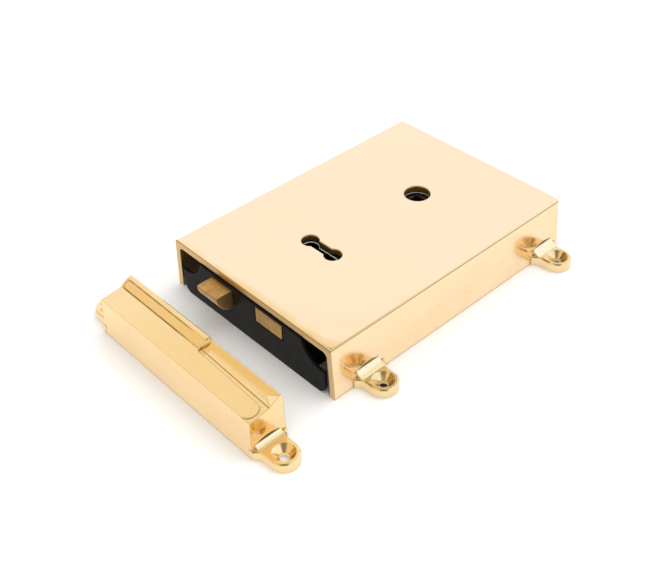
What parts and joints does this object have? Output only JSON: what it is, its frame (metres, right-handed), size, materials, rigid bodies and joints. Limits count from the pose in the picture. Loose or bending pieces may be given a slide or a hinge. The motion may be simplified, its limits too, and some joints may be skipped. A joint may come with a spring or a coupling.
{
  "type": "rim lock",
  "caption": "Cast brass rim lock: drafted cover with ears and keyhole, black forend with sprung latch and key-thrown deadbolt, lever work inside, and a matching box keep.",
  "frame": {"origin": "on the door's face, at the middle of the four fixing holes of the cover", "axes": "+X along the forend (to the right seen from the lock's side of the keep), +Y from the forend to the rear, +Z away from the door"},
  "size_m": [0.1467, 0.2069, 0.0281],
  "materials": {
    "cast_brass": "polished",
    "bolt_brass": "dull machined",
    "lever_brass": "rolled sheet",
    "black_enamel": "satin enamel",
    "cast_iron": "as cast",
    "steel": "machined",
    "spring_steel": "blued"
  },
  "bodies": {
    "lock": {"cover": "cast_brass", "lock_case": "black_enamel", "back_plate": "black_enamel", "forend_plate": "black_enamel", "case_pillars": "steel", "cap_screws": "steel", "latch_spring": "spring_steel", "latch_spring_rod": "steel", "latch_bracket": "steel", "tail_guide": "steel", "bolt_guide": "steel", "lever_pivot": "steel", "lever_spacer": "steel"},
    "latch": {"latch_head": "bolt_brass", "latch_tail": "steel", "latch_rivet": "steel"},
    "follower_body": {"follower": "cast_iron"},
    "deadbolt": {"deadbolt_head": "bolt_brass", "deadbolt_tail": "steel", "deadbolt_rivets": "steel", "deadbolt_stump": "steel"},
    "lever_1_body": {"lever_1": "lever_brass", "lever_spring_1": "spring_steel"},
    "lever_2_body": {"lever_2": "lever_brass", "lever_spring_2": "spring_steel"},
    "lever_3_body": {"lever_3": "lever_brass", "lever_spring_3": "spring_steel"},
    "keep_body": {"keep": "cast_brass"}
  },
  "joints": [
    {"name": "keep_close", "type": "slide", "parent": "lock", "child": "keep_body", "axis": [0, 0.984, 0.1782], "range_m": [0, 0.0247]},
    {"name": "latch_slide", "type": "slide", "parent": "lock", "child": "latch", "axis": [0, 1, 0], "range_m": [0, 0.0092], "stiffness_N_per_m": 400, "springref_m": -0.01, "deforming": ["latch_spring"]},
    {"name": "follower_turn", "type": "hinge", "parent": "lock", "child": "follower_body", "pos_m": [0.0006, 0.0277, 0.0115], "axis": [0, 0, 1], "range_deg": [0, 39.1]},
    {"name": "deadbolt_throw", "type": "slide", "parent": "lock", "child": "deadbolt", "axis": [0, -1, 0], "range_m": [0, 0.012]},
    {"name": "lever_1_drop", "type": "hinge", "parent": "lock", "child": "lever_1_body", "pos_m": [0.0222, 0.016, 0.0156], "axis": [0, 0, -1], "range_deg": [0, 3.5]},
    {"name": "lever_2_drop", "type": "hinge", "parent": "lock", "child": "lever_2_body", "pos_m": [0.0222, 0.016, 0.0177], "axis": [0, 0, -1], "range_deg": [0, 3.5]},
    {"name": "lever_3_drop", "type": "hinge", "parent": "lock", "child": "lever_3_body", "pos_m": [0.0222, 0.016, 0.0198], "axis": [0, 0, -1], "range_deg": [0, 3.5]}
  ],
  "couplings": [
    {"joint": "follower_turn", "follows": "latch_slide", "rad_per_m": 74.074},
    {"joint": "lever_2_drop", "follows": "lever_1_drop", "ratio": 1},
    {"joint": "lever_3_drop", "follows": "lever_1_drop", "ratio": 1}
  ]
}
